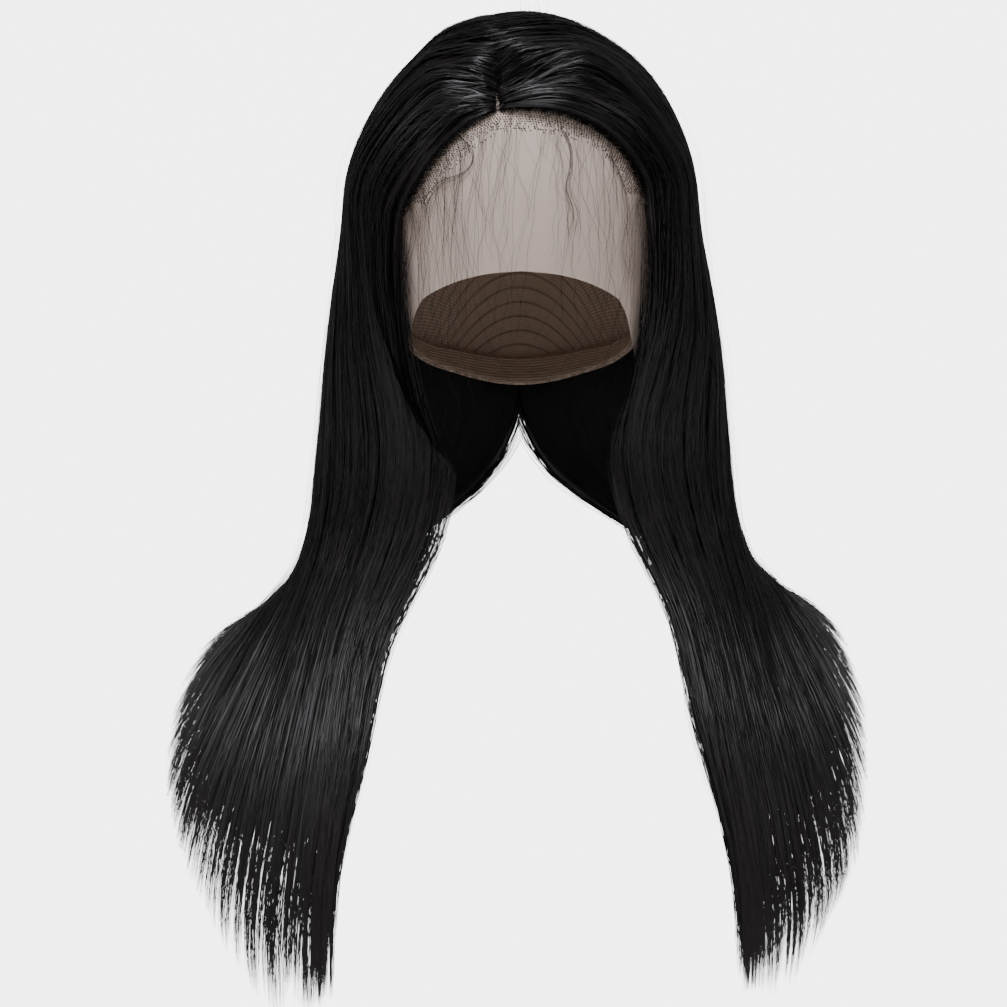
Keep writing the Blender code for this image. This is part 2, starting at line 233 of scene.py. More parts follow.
def hair_sections(across, side):
    """The point of every section at each share across. On the head, a section is the parabola
    through three directions, set on the head. Below it, turn, reach and height are parabolas."""
    rest = CAP_WALL + HAIR_CLEARANCE
    u = across[..., None]
    sections = []
    for (*left, right_turn, right_drop), (*behind, _) in zip(HAIRLINE, HEAD_SECTIONS):
        angles = np.reshape([*(left if side > 0 else (right_turn, right_drop)), *behind], (3, 2))
        rays = parabola(*(np.array(direction(*pair)) for pair in angles), u)
        scale = np.linalg.norm(rays / half_axes(rays, rest), axis=-1, keepdims=True)
        sections.append(rays / scale - CENTRE_TO_CROWN)
    for *shares, _ in FALL_SECTIONS:
        x, y, z = (np.array(shares).reshape(3, 3) * (HALF_SPREAD, FORWARD_REACH, HAIR_DROP)).T
        turn = parabola(*np.arctan2(x, -y), across)
        reach = parabola(*np.hypot(x, y), across)
        height = parabola(*z, across)
        sections.append(np.stack([reach * np.sin(turn), -reach * np.cos(turn), height], axis=-1))
    return np.array(sections)


def parting_shift(across, along, side):
    """How far sideways the hair is carried to the parting, fading down the head and to the back."""
    near_root = 1.0 - smooth_step(along / 3.0)
    before_crown = 1.0 - smooth_step((across - 0.55) / 0.45)
    return side * PART_OFFSET * near_root * before_crown


def hair_surface(across, along, side):
    """The surface that one half of the hair lies on, as if it were the left half: the curve through
    the sections, moved to the parting, set on the head above the ears and kept outside it below."""
    rest = CAP_WALL + HAIR_CLEARANCE
    last_on_head = ON_HEAD - 1.0
    across, along = np.broadcast_arrays(across, along)
    points = spline(hair_sections(across, side), along)
    at_neck = smooth_step((along - last_on_head) / 2.0) * smooth_step((LAST - 1.0 - along) / 3.0)
    over_shoulder = smooth_step((along - last_on_head - 2.0) / 3.0)
    points[..., 0] += parting_shift(across, along, side)
    points[..., 0] += side * NECK_SHIFT * at_neck * (1.0 - across) ** 2
    points[..., 2] += side * SHOULDER_SKEW * over_shoulder
    on_head = 1.0 - smooth_step(along - last_on_head)[..., None]
    points = moved_out(points, 1.0 + on_head * (1.0 / head_depth(points, rest) - 1.0))
    return moved_out(points, 1.0 / np.minimum(head_depth(points, rest), 1.0))


def hair_thickness(across, along, side):
    """The hair's thickness: a smooth curve through the sections, thinner at the parting and edges."""
    thickness = np.array([row[-1] for row in HEAD_SECTIONS + FALL_SECTIONS])
    base = spline(thickness.reshape(-1, *[1] * (along.ndim + 1)), along)[..., 0] * HAIR_LIFT
    front = 0.32 + 0.68 * np.sqrt(np.clip(across / 0.16, 0.0, 1.0))
    back = 0.32 + 0.68 * np.sqrt(np.clip((1.0 - across) / 0.16, 0.0, 1.0))
    free_back = smooth_step((along - ON_HEAD - 1.0) / 2.0)
    over_lace = 1.0 - smooth_step((across - PART_SHARE / 2.0) / (PART_SHARE / 2.0))
    parted = 1.0 - (1.0 - PART_HEIGHT) * over_lace * (1.0 - smooth_step(along))
    fuller = 1.0 + side * CROWN_SKEW * (1.0 - smooth_step((along - 1.0) / 2.0)) * smooth_step(along)
    return base * front * parted * fuller * (1.0 - free_back * (1.0 - back))

# %% [markdown]
# ## A map of the hair
# Thousands of strands ask for points on the surface again and again. The surface is worked out once on
# an even grid for each half, together with its outward direction, its thickness and its width, and a
# strand then reads the grid with straight blending between the four nearest places.

# %% Hair maps
MAP_ACROSS = np.linspace(-0.08, 1.06, 153)
MAP_ALONG = np.linspace(0.0, LAST, 353)


def unit(vectors):
    """Vectors divided by their own lengths."""
    return vectors / np.maximum(np.linalg.norm(vectors, axis=-1, keepdims=True), 1e-9)


def draw_hair_map(side):
    """Grid of point, outward direction, thickness and metres per unit across, for one half."""
    across, along = np.meshgrid(MAP_ACROSS, MAP_ALONG, indexing="ij")
    points = hair_surface(across, along, side)
    across_step, along_step = np.gradient(points, MAP_ACROSS, MAP_ALONG, axis=(0, 1))
    outward = unit(np.cross(along_step, across_step))
    thickness = hair_thickness(across, along, side)[..., None]
    width = np.linalg.norm(across_step, axis=-1, keepdims=True)
    return np.concatenate([points, outward, thickness, width], axis=-1)


def read_map(hair_map, across, along):
    """Point, outward direction, thickness and width at any places, blended from the grid."""
    row = (across - MAP_ACROSS[0]) / (MAP_ACROSS[1] - MAP_ACROSS[0])
    column = (along - MAP_ALONG[0]) / (MAP_ALONG[1] - MAP_ALONG[0])
    row = np.clip(row, 0.0, len(MAP_ACROSS) - 1.001)
    column = np.clip(column, 0.0, len(MAP_ALONG) - 1.001)
    r, c = row.astype(int), column.astype(int)
    u, v = (row - r)[..., None], (column - c)[..., None]
    near = hair_map[r, c] * (1 - v) + hair_map[r, c + 1] * v
    far = hair_map[r + 1, c] * (1 - v) + hair_map[r + 1, c + 1] * v
    found = near * (1 - u) + far * u
    return found[..., :3], unit(found[..., 3:6]), found[..., 6], found[..., 7]


HAIR_MAPS = {name: draw_hair_map(side) for name, side in SIDES}
print("hair maps of", HAIR_MAPS["left"].shape[:2], "places")

# %% [markdown]
# ## Shader helpers
# A material is a small graph. A few helpers keep the graphs short: they add one step of arithmetic, read
# what a mesh holds, or open a node group with named sockets. A group is built once and used by every
# material that needs its effect.

# %% Shader helpers
def set_or_link(tree, socket, value):
    """Link value into socket if it is another socket, and otherwise store it there."""
    if isinstance(value, bpy.types.NodeSocket):
        tree.links.new(value, socket)
    else:
        socket.default_value = value


def maths(tree, operation, *values):
    """One step of arithmetic on numbers; the last result is held to 0..1 if the name ends in _C."""
    node = tree.nodes.new("ShaderNodeMath")
    node.operation = operation.removesuffix("_C")
    node.use_clamp = operation.endswith("_C")
    for socket, value in zip(node.inputs, values):
        set_or_link(tree, socket, value)
    return node.outputs[0]


def vector_maths(tree, operation, *values, result="Vector"):
    """One step of arithmetic on vectors."""
    node = tree.nodes.new("ShaderNodeVectorMath")
    node.operation = operation
    for socket, value in zip(node.inputs, values):
        set_or_link(tree, socket, value)
    return node.outputs[result]


def mixed_colour(tree, share, first, second):
    """first where share is 0, second where it is 1."""
    node = tree.nodes.new("ShaderNodeMix")
    node.data_type = "RGBA"
    set_or_link(tree, node.inputs["Factor"], share)
    set_or_link(tree, node.inputs["A"], first)
    set_or_link(tree, node.inputs["B"], second)
    return node.outputs["Result"]


def noise(tree, place, scale, detail=2.0):
    """Smooth noise of about 0.25 to 0.75 over a place."""
    node = tree.nodes.new("ShaderNodeTexNoise")
    node.noise_dimensions = "2D"
    tree.links.new(place, node.inputs["Vector"])
    node.inputs["Scale"].default_value = scale
    node.inputs["Detail"].default_value = detail
    return node.outputs[0]


def new_group(name, inputs, outputs):
    """A shader node group with named sockets, and its input and output nodes."""
    group = bpy.data.node_groups.new(name, "ShaderNodeTree")
    for title, kind in inputs:
        group.interface.new_socket(title, in_out="INPUT", socket_type=kind)
    for title, kind in outputs:
        group.interface.new_socket(title, in_out="OUTPUT", socket_type=kind)
    return group, group.nodes.new("NodeGroupInput").outputs, group.nodes.new("NodeGroupOutput").inputs


def use_group(tree, group, **values):
    """Place a group in a tree and set or link its inputs by name."""
    node = tree.nodes.new("ShaderNodeGroup")
    node.node_tree = group
    for title, value in values.items():
        set_or_link(tree, node.inputs[title], value)
    return node.outputs


def new_material(name, colour, roughness, specular=0.5):
    """A material with one Principled shader, and the parts of it that the finishes below link to."""
    material = bpy.data.materials.new(name)
    material.use_nodes = True
    tree = material.node_tree
    shader = tree.nodes["Principled BSDF"]
    shader.inputs["Base Color"].default_value = (*colour, 1.0)
    shader.inputs["Roughness"].default_value = roughness
    shader.inputs["Specular IOR Level"].default_value = specular
    return material, tree, shader.inputs


def pattern_place(tree):
    """The piece's own flat pattern, in millimetres or shares."""
    node = tree.nodes.new("ShaderNodeUVMap")
    node.uv_map = "pattern"
    return node.outputs["UV"]


def pattern_parts(tree):
    """The two numbers of the flat pattern, as the sockets X and Y."""
    node = tree.nodes.new("ShaderNodeSeparateXYZ")
    tree.links.new(pattern_place(tree), node.inputs[0])
    return node.outputs


def point_value(tree, name):
    """The number that the mesh holds at each point under a name."""
    node = tree.nodes.new("ShaderNodeAttribute")
    node.attribute_name = name
    return node.outputs["Fac"]


def add_bump(tree, shader, height, strength, distance):
    """Bend the shading as if the surface rose by height times distance."""
    node = tree.nodes.new("ShaderNodeBump")
    node.inputs["Strength"].default_value = strength
    node.inputs["Distance"].default_value = distance
    tree.links.new(height, node.inputs["Height"])
    tree.links.new(node.outputs["Normal"], shader["Normal"])

# %% [markdown]
# ## Hair finishes
# The hair is off-black. Seen close, most strands are nearly black and some are a warm dark brown. The
# brown towards the tips is painted light, standing for light that passes through the thin ends. A group
# turns a tone and a share along the strand into that colour, and both the strands and the shells below
# them use it. Strands carry their own tone in their pattern. The shells draw streaks that run along the
# hair from stretched noise.

# %% Hair materials
NEAR_BLACK = (0.0040, 0.0033, 0.0037, 1.0)
WARM_BROWN = (0.0170, 0.0095, 0.0078, 1.0)
# Painted light: the brown that light passing through thin hair ends would give.
TIP_PAINTED_LIGHT = (0.0300, 0.0205, 0.0190, 1.0)

hair_tint, tint_in, tint_out = new_group(
    "hair_tint", [("Tone", "NodeSocketFloat"), ("Share", "NodeSocketFloat")],
    [("Colour", "NodeSocketColor")],
)
warm = maths(hair_tint, "POWER", tint_in["Tone"], 3.0)
body = mixed_colour(hair_tint, warm, NEAR_BLACK, WARM_BROWN)
# Painted light: towards the tips the colour turns brown, as if lit through.
painted_tip_light = maths(hair_tint, "MULTIPLY_C", maths(hair_tint, "SUBTRACT", tint_in["Share"], 0.86), 4.0)
hair_tint.links.new(mixed_colour(hair_tint, painted_tip_light, body, TIP_PAINTED_LIGHT), tint_out["Colour"])

hair_streaks, streak_in, streak_out = new_group(
    "hair_streaks", [("Place", "NodeSocketVector")],
    [("Tone", "NodeSocketFloat"), ("Ridges", "NodeSocketFloat")],
)
stretched = vector_maths(hair_streaks, "MULTIPLY", streak_in["Place"], (1.0, 0.012, 0.0))
broad = noise(hair_streaks, stretched, 0.35)
fine = noise(hair_streaks, stretched, 2.6, 3.0)
tone = maths(hair_streaks, "MULTIPLY", broad, fine)
hair_streaks.links.new(maths(hair_streaks, "MULTIPLY", tone, 1.6), streak_out["Tone"])
hair_streaks.links.new(maths(hair_streaks, "ADD", maths(hair_streaks, "MULTIPLY", broad, 1.5), fine),
                       streak_out["Ridges"])

hair_wisps, wisp_in, wisp_out = new_group(
    "hair_wisps", [("Place", "NodeSocketVector"), ("Cover", "NodeSocketFloat")],
    [("Mask", "NodeSocketFloat")],
)
stretched = vector_maths(hair_wisps, "MULTIPLY", wisp_in["Place"], (1.0, 0.0028, 0.0))
broad = maths(hair_wisps, "MULTIPLY", noise(hair_wisps, stretched, 0.55, 0.0), 0.34)
fine = maths(hair_wisps, "MULTIPLY", noise(hair_wisps, stretched, 4.2, 0.0), 0.66)
split = maths(hair_wisps, "ADD", broad, fine)
threshold = maths(hair_wisps, "MULTIPLY_C", maths(hair_wisps, "SUBTRACT", split, 0.32), 2.8)
covered = maths(hair_wisps, "SUBTRACT", maths(hair_wisps, "MULTIPLY", wisp_in["Cover"], 1.4), 0.25)
kept_share = maths(hair_wisps, "SUBTRACT", covered, threshold)
hair_wisps.links.new(maths(hair_wisps, "ADD_C", maths(hair_wisps, "MULTIPLY", kept_share, 9.0), 0.5),
                     wisp_out["Mask"])

hair_strand, tree, shader = new_material("hair_strand", NEAR_BLACK[:3], 0.42)
strand = pattern_parts(tree)
tint = use_group(tree, hair_tint, Tone=strand["X"], Share=strand["Y"])
tree.links.new(tint["Colour"], shader["Base Color"])
roughness = maths(tree, "ADD", maths(tree, "MULTIPLY", strand["X"], 0.14), 0.25)
roughness = maths(tree, "ADD", maths(tree, "MULTIPLY", strand["Y"], 0.17), roughness)
tree.links.new(roughness, shader["Roughness"])

hair_mass, tree, shader = new_material("hair_mass", NEAR_BLACK[:3], 0.5)
streaks = use_group(tree, hair_streaks, Place=pattern_place(tree))
tint = use_group(tree, hair_tint, Tone=streaks["Tone"], Share=0.0)
tree.links.new(tint["Colour"], shader["Base Color"])
add_bump(tree, shader, streaks["Ridges"], 0.5, 0.0006)
wisps = use_group(tree, hair_wisps, Place=pattern_place(tree), Cover=point_value(tree, "cover"))
tree.links.new(wisps["Mask"], shader["Alpha"])

baby_hair_finish, tree, shader = new_material("fine_brown_hair", (0.030, 0.017, 0.012), 0.5)
print("hair finishes", hair_strand.name, hair_mass.name, baby_hair_finish.name)

# %% [markdown]
# ## Meshes from arrays
# Every piece ends as points, faces and a flat pattern. The pattern is a UV map, which here holds
# millimetres on cloth, and the tone and share on strands.

# %% Mesh helpers
def new_piece(name, points, faces, pattern, material):
    """A mesh from points (n, 3), faces of point numbers (m, k) and each point's flat pattern (n, 2)."""
    mesh = bpy.data.meshes.new(name)
    mesh.from_pydata(points.reshape(-1, 3), [], faces)
    flat = pattern.reshape(-1, 2)[faces.ravel()].astype(np.float32)
    mesh.uv_layers.new(name="pattern").data.foreach_set("uv", flat.ravel())
    mesh.materials.append(material)
    mesh.shade_smooth()
    piece = bpy.data.objects.new(name, mesh)
    bpy.context.scene.collection.objects.link(piece)
    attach(piece, "root")
    return piece


def hold_at_points(piece, name, values):
    """Store one number at each point of a piece, for its finish to read."""
    attribute = piece.data.attributes.new(name, "FLOAT", "POINT")
    attribute.data.foreach_set("value", values.astype(np.float32).ravel())


def grid_corners(rows, columns):
    """Point numbers of each cell of a grid, in an order that turns from down the rows to across."""
    number = np.arange((rows + 1) * (columns + 1)).reshape(rows + 1, columns + 1)
    return np.stack([number[:-1, :-1], number[1:, :-1], number[1:, 1:], number[:-1, 1:]], axis=-1)


def shell_faces(rows, columns, turned):
    """Faces of a closed shell: both layers of a grid, and a wall along each of its four borders.
    turned reverses them all, for a shell that is mirrored."""
    corners = grid_corners(rows, columns)
    cells = corners.reshape(-1, 4)
    layer = (rows + 1) * (columns + 1)
    faces = [cells + layer, cells[:, ::-1]]
    for k, border in enumerate((corners[:, 0], corners[-1], corners[:, -1], corners[0])):
        start, end = border[:, k], border[:, (k + 1) % 4]
        faces.append(np.stack([end + layer, start + layer, start, end], axis=-1))
    faces = np.concatenate(faces)
    return faces[:, ::-1] if turned else faces


def sewn_grid(rows, columns, side_limit, first_edge, last_edge, offset):
    """Points of a cloth panel on the head's form between two edges, and its pattern in millimetres."""
    side = np.linspace(-side_limit, side_limit, columns + 1)
    share = np.linspace(0.0, 1.0, rows + 1)[:, None]
    edge = first_edge(side) + (last_edge(side) - first_edge(side)) * share
    points = from_the_ears(edge, np.broadcast_to(side, edge.shape), offset)
    over = np.linalg.norm(np.diff(points, axis=1, prepend=points[:, :1]), axis=-1).cumsum(axis=1)
    down = np.linalg.norm(np.diff(points, axis=0, prepend=points[:1]), axis=-1).cumsum(axis=0)
    over = over - over[:, columns // 2:columns // 2 + 1]
    return points, np.stack([over, down], axis=-1) * 1000.0


def sewn_wall(name, cells, side_limit, first_edge, last_edge, offsets, finish):
    """A closed cloth wall between two edges and between two offsets from the head's form."""
    inner, pattern = sewn_grid(*cells, side_limit, first_edge, last_edge, offsets[0])
    outer, _ = sewn_grid(*cells, side_limit, first_edge, last_edge, offsets[1])
    faces = shell_faces(*cells, False)
    print(name, len(faces), "faces")
    return new_piece(name, np.stack([inner, outer]), faces, np.stack([pattern] * 2), finish)

# %% [markdown]
# ## Net, lace and elastic
# Wig net is knitted in small hexagons. Its mask is a formula: the distance to the nearest side of a
# hexagon, from two shifted lattices. The cap uses it as a colour, threads over the darkness behind,
# and the lace as its see-through share, so that one group serves both.

# %% Hexagonal net group
hex_net, net_in, net_out = new_group(
    "hex_net",
    [("Place", "NodeSocketVector"), ("Cell", "NodeSocketFloat"), ("Thread", "NodeSocketFloat")],
    [("Mask", "NodeSocketFloat")],
)
LATTICE = (1.0, math.sqrt(3.0), 1.0)
HALF_LATTICE = tuple(value / 2 for value in LATTICE)
MINUS_HALF = tuple(-value for value in HALF_LATTICE)
per_cell = maths(hex_net, "DIVIDE", 1.0, net_in["Cell"])
scaled = hex_net.nodes.new("ShaderNodeVectorMath")
scaled.operation = "SCALE"
hex_net.links.new(net_in["Place"], scaled.inputs[0])
hex_net.links.new(per_cell, scaled.inputs["Scale"])
to_side = []
for shift in ((0.0, 0.0, 0.0), HALF_LATTICE):
    moved = vector_maths(hex_net, "ADD", scaled.outputs["Vector"], shift)
    wrapped = vector_maths(hex_net, "WRAP", moved, HALF_LATTICE, MINUS_HALF)
    folded = vector_maths(hex_net, "ABSOLUTE", wrapped)
    slant = vector_maths(hex_net, "DOT_PRODUCT", folded, (0.5, math.sqrt(0.75), 0.0), result="Value")
    flat = vector_maths(hex_net, "DOT_PRODUCT", folded, (1.0, 0.0, 0.0), result="Value")
    to_side.append(maths(hex_net, "MAXIMUM", slant, flat))
inside = maths(hex_net, "MINIMUM", *to_side)
distance = maths(hex_net, "MULTIPLY", maths(hex_net, "SUBTRACT", 0.5, inside), net_in["Cell"])
beyond = maths(hex_net, "SUBTRACT", maths(hex_net, "MULTIPLY", net_in["Thread"], 0.5), distance)
hex_net.links.new(maths(hex_net, "ADD_C", maths(hex_net, "MULTIPLY", beyond, 12.0), 0.5), net_out["Mask"])

# %% Cloth materials
NET_THREAD = (0.66, 0.49, 0.38, 1.0)
NET_SHADE = (0.34, 0.24, 0.18, 1.0)
WEFT_THREAD = (0.38, 0.27, 0.20, 1.0)
WEFT_PITCH = 8.0
# Painted shade: the grooves of the elastic are coloured darker than its ribs.
ELASTIC_GROOVE_PAINTED_SHADE = (0.30, 0.20, 0.14, 1.0)
ELASTIC_RIB = (0.54, 0.39, 0.29, 1.0)
RIB_WIDTH = 0.8
LACE_THREAD = (0.98, 0.80, 0.69, 1.0)

cap_net, tree, shader = new_material("cap_net_finish", NET_THREAD[:3], 0.85, 0.3)
mesh_mask = use_group(tree, hex_net, Place=pattern_place(tree), Cell=1.0, Thread=0.36)["Mask"]
net_colour = mixed_colour(tree, mesh_mask, NET_SHADE, NET_THREAD)
row_share = maths(tree, "PINGPONG", pattern_parts(tree)["Y"], WEFT_PITCH / 2)
weft_row = maths(tree, "MULTIPLY_C", maths(tree, "SUBTRACT", 0.9, row_share), 1.4)
tree.links.new(mixed_colour(tree, weft_row, net_colour, WEFT_THREAD), shader["Base Color"])
add_bump(tree, shader, maths(tree, "ADD", maths(tree, "MULTIPLY", weft_row, 2.0), mesh_mask), 0.7, 0.0006)

elastic_finish, tree, shader = new_material("elastic_finish", (0.50, 0.35, 0.25), 0.75, 0.3)
ribs = maths(tree, "PINGPONG", pattern_parts(tree)["Y"], RIB_WIDTH)
# Painted shade in the grooves between the ribs.
ribs_with_painted_shade = mixed_colour(tree, ribs, ELASTIC_GROOVE_PAINTED_SHADE, ELASTIC_RIB)
tree.links.new(ribs_with_painted_shade, shader["Base Color"])
add_bump(tree, shader, ribs, 0.8, 0.0006)

lace_finish, tree, shader = new_material("sheer_lace_finish", LACE_THREAD[:3], 0.8, 0.3)
lace_mask = use_group(tree, hex_net, Place=pattern_place(tree), Cell=1.1, Thread=0.16)["Mask"]
film = maths(tree, "ADD", maths(tree, "MULTIPLY", point_value(tree, "near_hair"), 0.28), 0.68)
tree.links.new(maths(tree, "MAXIMUM", maths(tree, "MULTIPLY", lace_mask, 0.82), film), shader["Alpha"])
print("cloth finishes", cap_net.name, elastic_finish.name, lace_finish.name)

# %% [markdown]
# ## The cap
# The cap is a dome of net with rows of machine-made weft sewn round it. Its inside shows through the
# opening for the face. It has the same edges and wall as the solid, in finer steps.

# %% Cap and nape band
CAP_CELLS = (42, 76)
BAND_CELLS = (6, 72)
seam = lambda side: np.full_like(side, SEAM_ANGLE)
nape = lambda side: edge_at(NAPE_EDGE, side)
net_cap = sewn_wall("net_cap", CAP_CELLS, EAR_OPENING_ANGLE, seam, nape, (0.0, CAP_WALL), cap_net)
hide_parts("wig_cap")

band_angle = math.degrees(BAND_WIDTH / (HEAD_LENGTH / 2))
band_top = lambda side: nape(side) + band_angle
elastic_band = sewn_wall("elastic_band", BAND_CELLS, BAND_END_ANGLE, band_top, nape,
                         (-BAND_GAP - BAND_WALL, -BAND_GAP), elastic_finish)
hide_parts("nape_band")

# %% [markdown]
# ## The lace front
# The lace is one sheer layer, far thinner than the solid that stands for it, so it is a single open
# sheet in the middle of that solid's wall. An attribute says how near each point is to the hairline,
# where the dense knotting makes the lace less sheer.

# %% Lace
LACE_ROWS, LACE_COLUMNS = 64, 104
lace_start = lambda side: np.full_like(side, SEAM_ANGLE + 0.4)
lace_end = lambda side: edge_at(LACE_EDGE, side)
lace_points, lace_pattern = sewn_grid(
    LACE_ROWS, LACE_COLUMNS, EAR_OPENING_ANGLE, lace_start, lace_end, LACE_WALL / 2)
lace_faces = grid_corners(LACE_ROWS, LACE_COLUMNS).reshape(-1, 4)
lace_sheet = new_piece("lace_sheet", lace_points, lace_faces, lace_pattern, lace_finish)


def hairline_points(name, side, along):
    """Points of the hairline of one half, in the world."""
    points = read_map(HAIR_MAPS[name], np.zeros_like(along), along)[0]
    return points * (side, 1.0, 1.0)


def nearest_distance(points, others):
    """The distance from each point to the nearest of the others."""
    gaps = points.reshape(-1, 1, 3) - others.reshape(1, -1, 3)
    return np.sqrt((gaps**2).sum(axis=-1).min(axis=1))


hairline_steps = np.linspace(0.0, 3.2, 90)
hairline = np.concatenate([hairline_points(name, side, hairline_steps) for name, side in SIDES])
parting_across = np.linspace(0.0, 0.5, 60)
parting = read_map(HAIR_MAPS["left"], parting_across, np.zeros_like(parting_across))[0]
to_hairline = nearest_distance(lace_points, on_head_form(hairline, LACE_WALL))
to_temple = 1.0 - smooth_step((np.abs(lace_points[..., 0].ravel()) - 0.03) / 0.025)
to_parting = nearest_distance(lace_points, on_head_form(parting, LACE_WALL))
near_hair_share = np.maximum((1.0 - to_hairline / 0.012) * to_temple, 1.25 - to_parting / 0.008)
hold_at_points(lace_sheet, "near_hair", np.clip(near_hair_share, 0.0, 1.0))

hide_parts("lace_front")

# %% [markdown]
# ## Knots
# Each hair of the lace is tied on with a knot that shows as a dot. They sit in a checker of about a
# millimetre and a half along the hairline and the parting, and thin out towards the face. They are
# eight-sided beads, all in one mesh.

# %% Knots
KNOT_PITCH = 0.0016
KNOT_RADIUS = 0.00046
KNOT_ROWS = 10
knot_chance = np.random.default_rng(11)
knot_places = []
for name, side in SIDES:
    steps = np.linspace(0.0, 3.1, 400)
    line = hairline_points(name, side, steps)
    length = np.linalg.norm(np.diff(line, axis=0, prepend=line[:1]), axis=-1).cumsum()
    back = read_map(HAIR_MAPS[name], np.full_like(steps, 0.02), steps)[0] * (side, 1.0, 1.0)
    for row in range(-2, KNOT_ROWS):
        marks = np.arange(row % 2 * 0.5 * KNOT_PITCH, length[-1], KNOT_PITCH)
        marks = marks[knot_chance.random(len(marks)) < 1.75 - row * 0.16]
        centre = np.stack([np.interp(marks, length, line[:, k]) for k in range(3)], axis=-1)
        behind = np.stack([np.interp(marks, length, back[:, k]) for k in range(3)], axis=-1)
        knot_places.append(centre + unit(centre - behind) * row * KNOT_PITCH * 0.9)
for offset in (-0.0012, 0.0, 0.0012):
    marks = np.arange(0.0, 0.30, 0.008) + (0.004 if offset == 0.0 else 0.0)
    line = read_map(HAIR_MAPS["left"], marks, np.zeros_like(marks))[0]
    knot_places.append(line + np.array([offset, 0.0, 0.0]))
knot_places = np.concatenate(knot_places)
knot_places += knot_chance.normal(0.0, 0.00011, knot_places.shape)
knot_places = on_head_form(knot_places, LACE_WALL / 2 + 0.0002)
BEAD = np.array([(1, 0, 0), (0, 1, 0), (-1, 0, 0), (0, -1, 0), (0, 0, 1), (0, 0, -1)])
BEAD_TOP = [(0, 1, 4), (1, 2, 4), (2, 3, 4), (3, 0, 4)]
BEAD_BOTTOM = [(1, 0, 5), (2, 1, 5), (3, 2, 5), (0, 3, 5)]
BEAD_FACES = np.array(BEAD_TOP + BEAD_BOTTOM)
sizes = KNOT_RADIUS * knot_chance.uniform(0.75, 1.2, (len(knot_places), 1, 1))
beads = knot_places[:, None] + BEAD * sizes
bead_faces = (np.arange(len(knot_places))[:, None, None] * 6 + BEAD_FACES).reshape(-1, 3)
knots = new_piece("lace_knots", beads, bead_faces, np.zeros(beads.shape[:2] + (2,)), baby_hair_finish)
print(len(knot_places), "knots")

# %% [markdown]
# ## The slant and the ends of the falls
# Below the shoulders the hair no longer hangs along the sections. It runs slantwise outwards, less at
# the front edge than behind, and its outer edge is cut back towards the tips. Two small functions say
# how far a strand has slanted and where the outer edge is, and the shells and the strands share them.

# %% Slant and ends
# How far the front edge and the rest move outwards, as shares of the way across.
FAN = {"left": (0.20, 0.42), "right": (0.00, 0.56)}
WIDEST_SLANT = 0.7
HALVINGS = 14
# The outer edge of each fall: how far along, and how far across.
OUTER_EDGE = {
    "left": ((8.2, 1.02), (9.0, 0.97), (9.6, 0.88), (10.5, 0.80), (11.0, 0.66)),
    "right": ((8.8, 1.02), (9.4, 0.98), (9.9, 0.82), (10.4, 0.64), (11.0, 0.42)),
}


def front_slant(name, along):
    """How far the front edge of a fall has moved across."""
    return FAN[name][0] * smooth_step((along - 7.4) / 3.4)


def fanned(name, start, along):
    """How far strands have moved across on their way over the shoulder: the front edge hangs nearly
    straight, and the rest runs slantwise outwards."""
    front, rest = FAN[name]
    slant = (rest - front) * smooth_step(start / 0.42) * smooth_step((along - 6.2) / 5.2)
    return slant + front_slant(name, along)


def before_fan(name, across, along):
    """Where a strand that is now at a place across started, found by halving the range."""
    low, high = across - WIDEST_SLANT, across
    for _ in range(HALVINGS):
        middle = (low + high) / 2
        too_far = middle + fanned(name, middle, along) > across
        low, high = np.where(too_far, low, middle), np.where(too_far, middle, high)
    return (low + high) / 2


def outer_edge(name, along):
    """How far across the outer edge of a fall is."""
    marks, edges = np.array(OUTER_EDGE[name]).T
    return np.interp(along, marks, edges)


def fanned_tip(name, start, tip, chance):
    """The tip of each strand, cut off where its slant carries it past the outer edge. Many strands
    end a chance share before it, so that the hair thins out towards that edge."""
    along = np.linspace(6.0, LAST, 80)
    short = 0.38 * chance.random((len(start), 1)) ** 1.8 - 0.03
    short = short * smooth_step((along - 7.6) / 1.4)
    inside = (start[:, None] + fanned(name, start[:, None], along) < outer_edge(name, along) - short)
    reach = 6.0 + inside.sum(axis=1) * (along[1] - along[0])
    return np.minimum(tip, reach)


print("outer edges half way down", [float(outer_edge(name, 9.4).round(2)) for name, _ in SIDES])

# %% [markdown]
# ## Shells of hair
# Beneath the strands, each bundle is a closed shell like its solid, but with finer steps, softer
# grooves between its locks and small ridges. It stops short of the tips, where the locks thin out into
# separate strands, and at the parting it slopes down to the lace.

# %% Hair shells
SHELL_ROWS, SHELL_COLUMNS = 84, 42
SHELL_END = 10.85
SHELL_LOCKS = 6
SHELL_FILL = 0.86
# Millimetres of the hair's pattern for one unit across and one along.
PATTERN_ACROSS, PATTERN_ALONG = 230.0, 46.0
# The shell's least wall, and the height above the hair's surface at which it meets the lace.
LEAST_WALL = 0.0005
LACE_LEVEL = LACE_WALL - CAP_WALL - HAIR_CLEARANCE + 0.0002
shell_chance = np.random.default_rng(5)


def open_parting(across):
    """1 where the parting lies open over the lace, falling to 0 where the hair closes over it."""
    return 1.0 - smooth_step((across - 0.12) / 0.22)


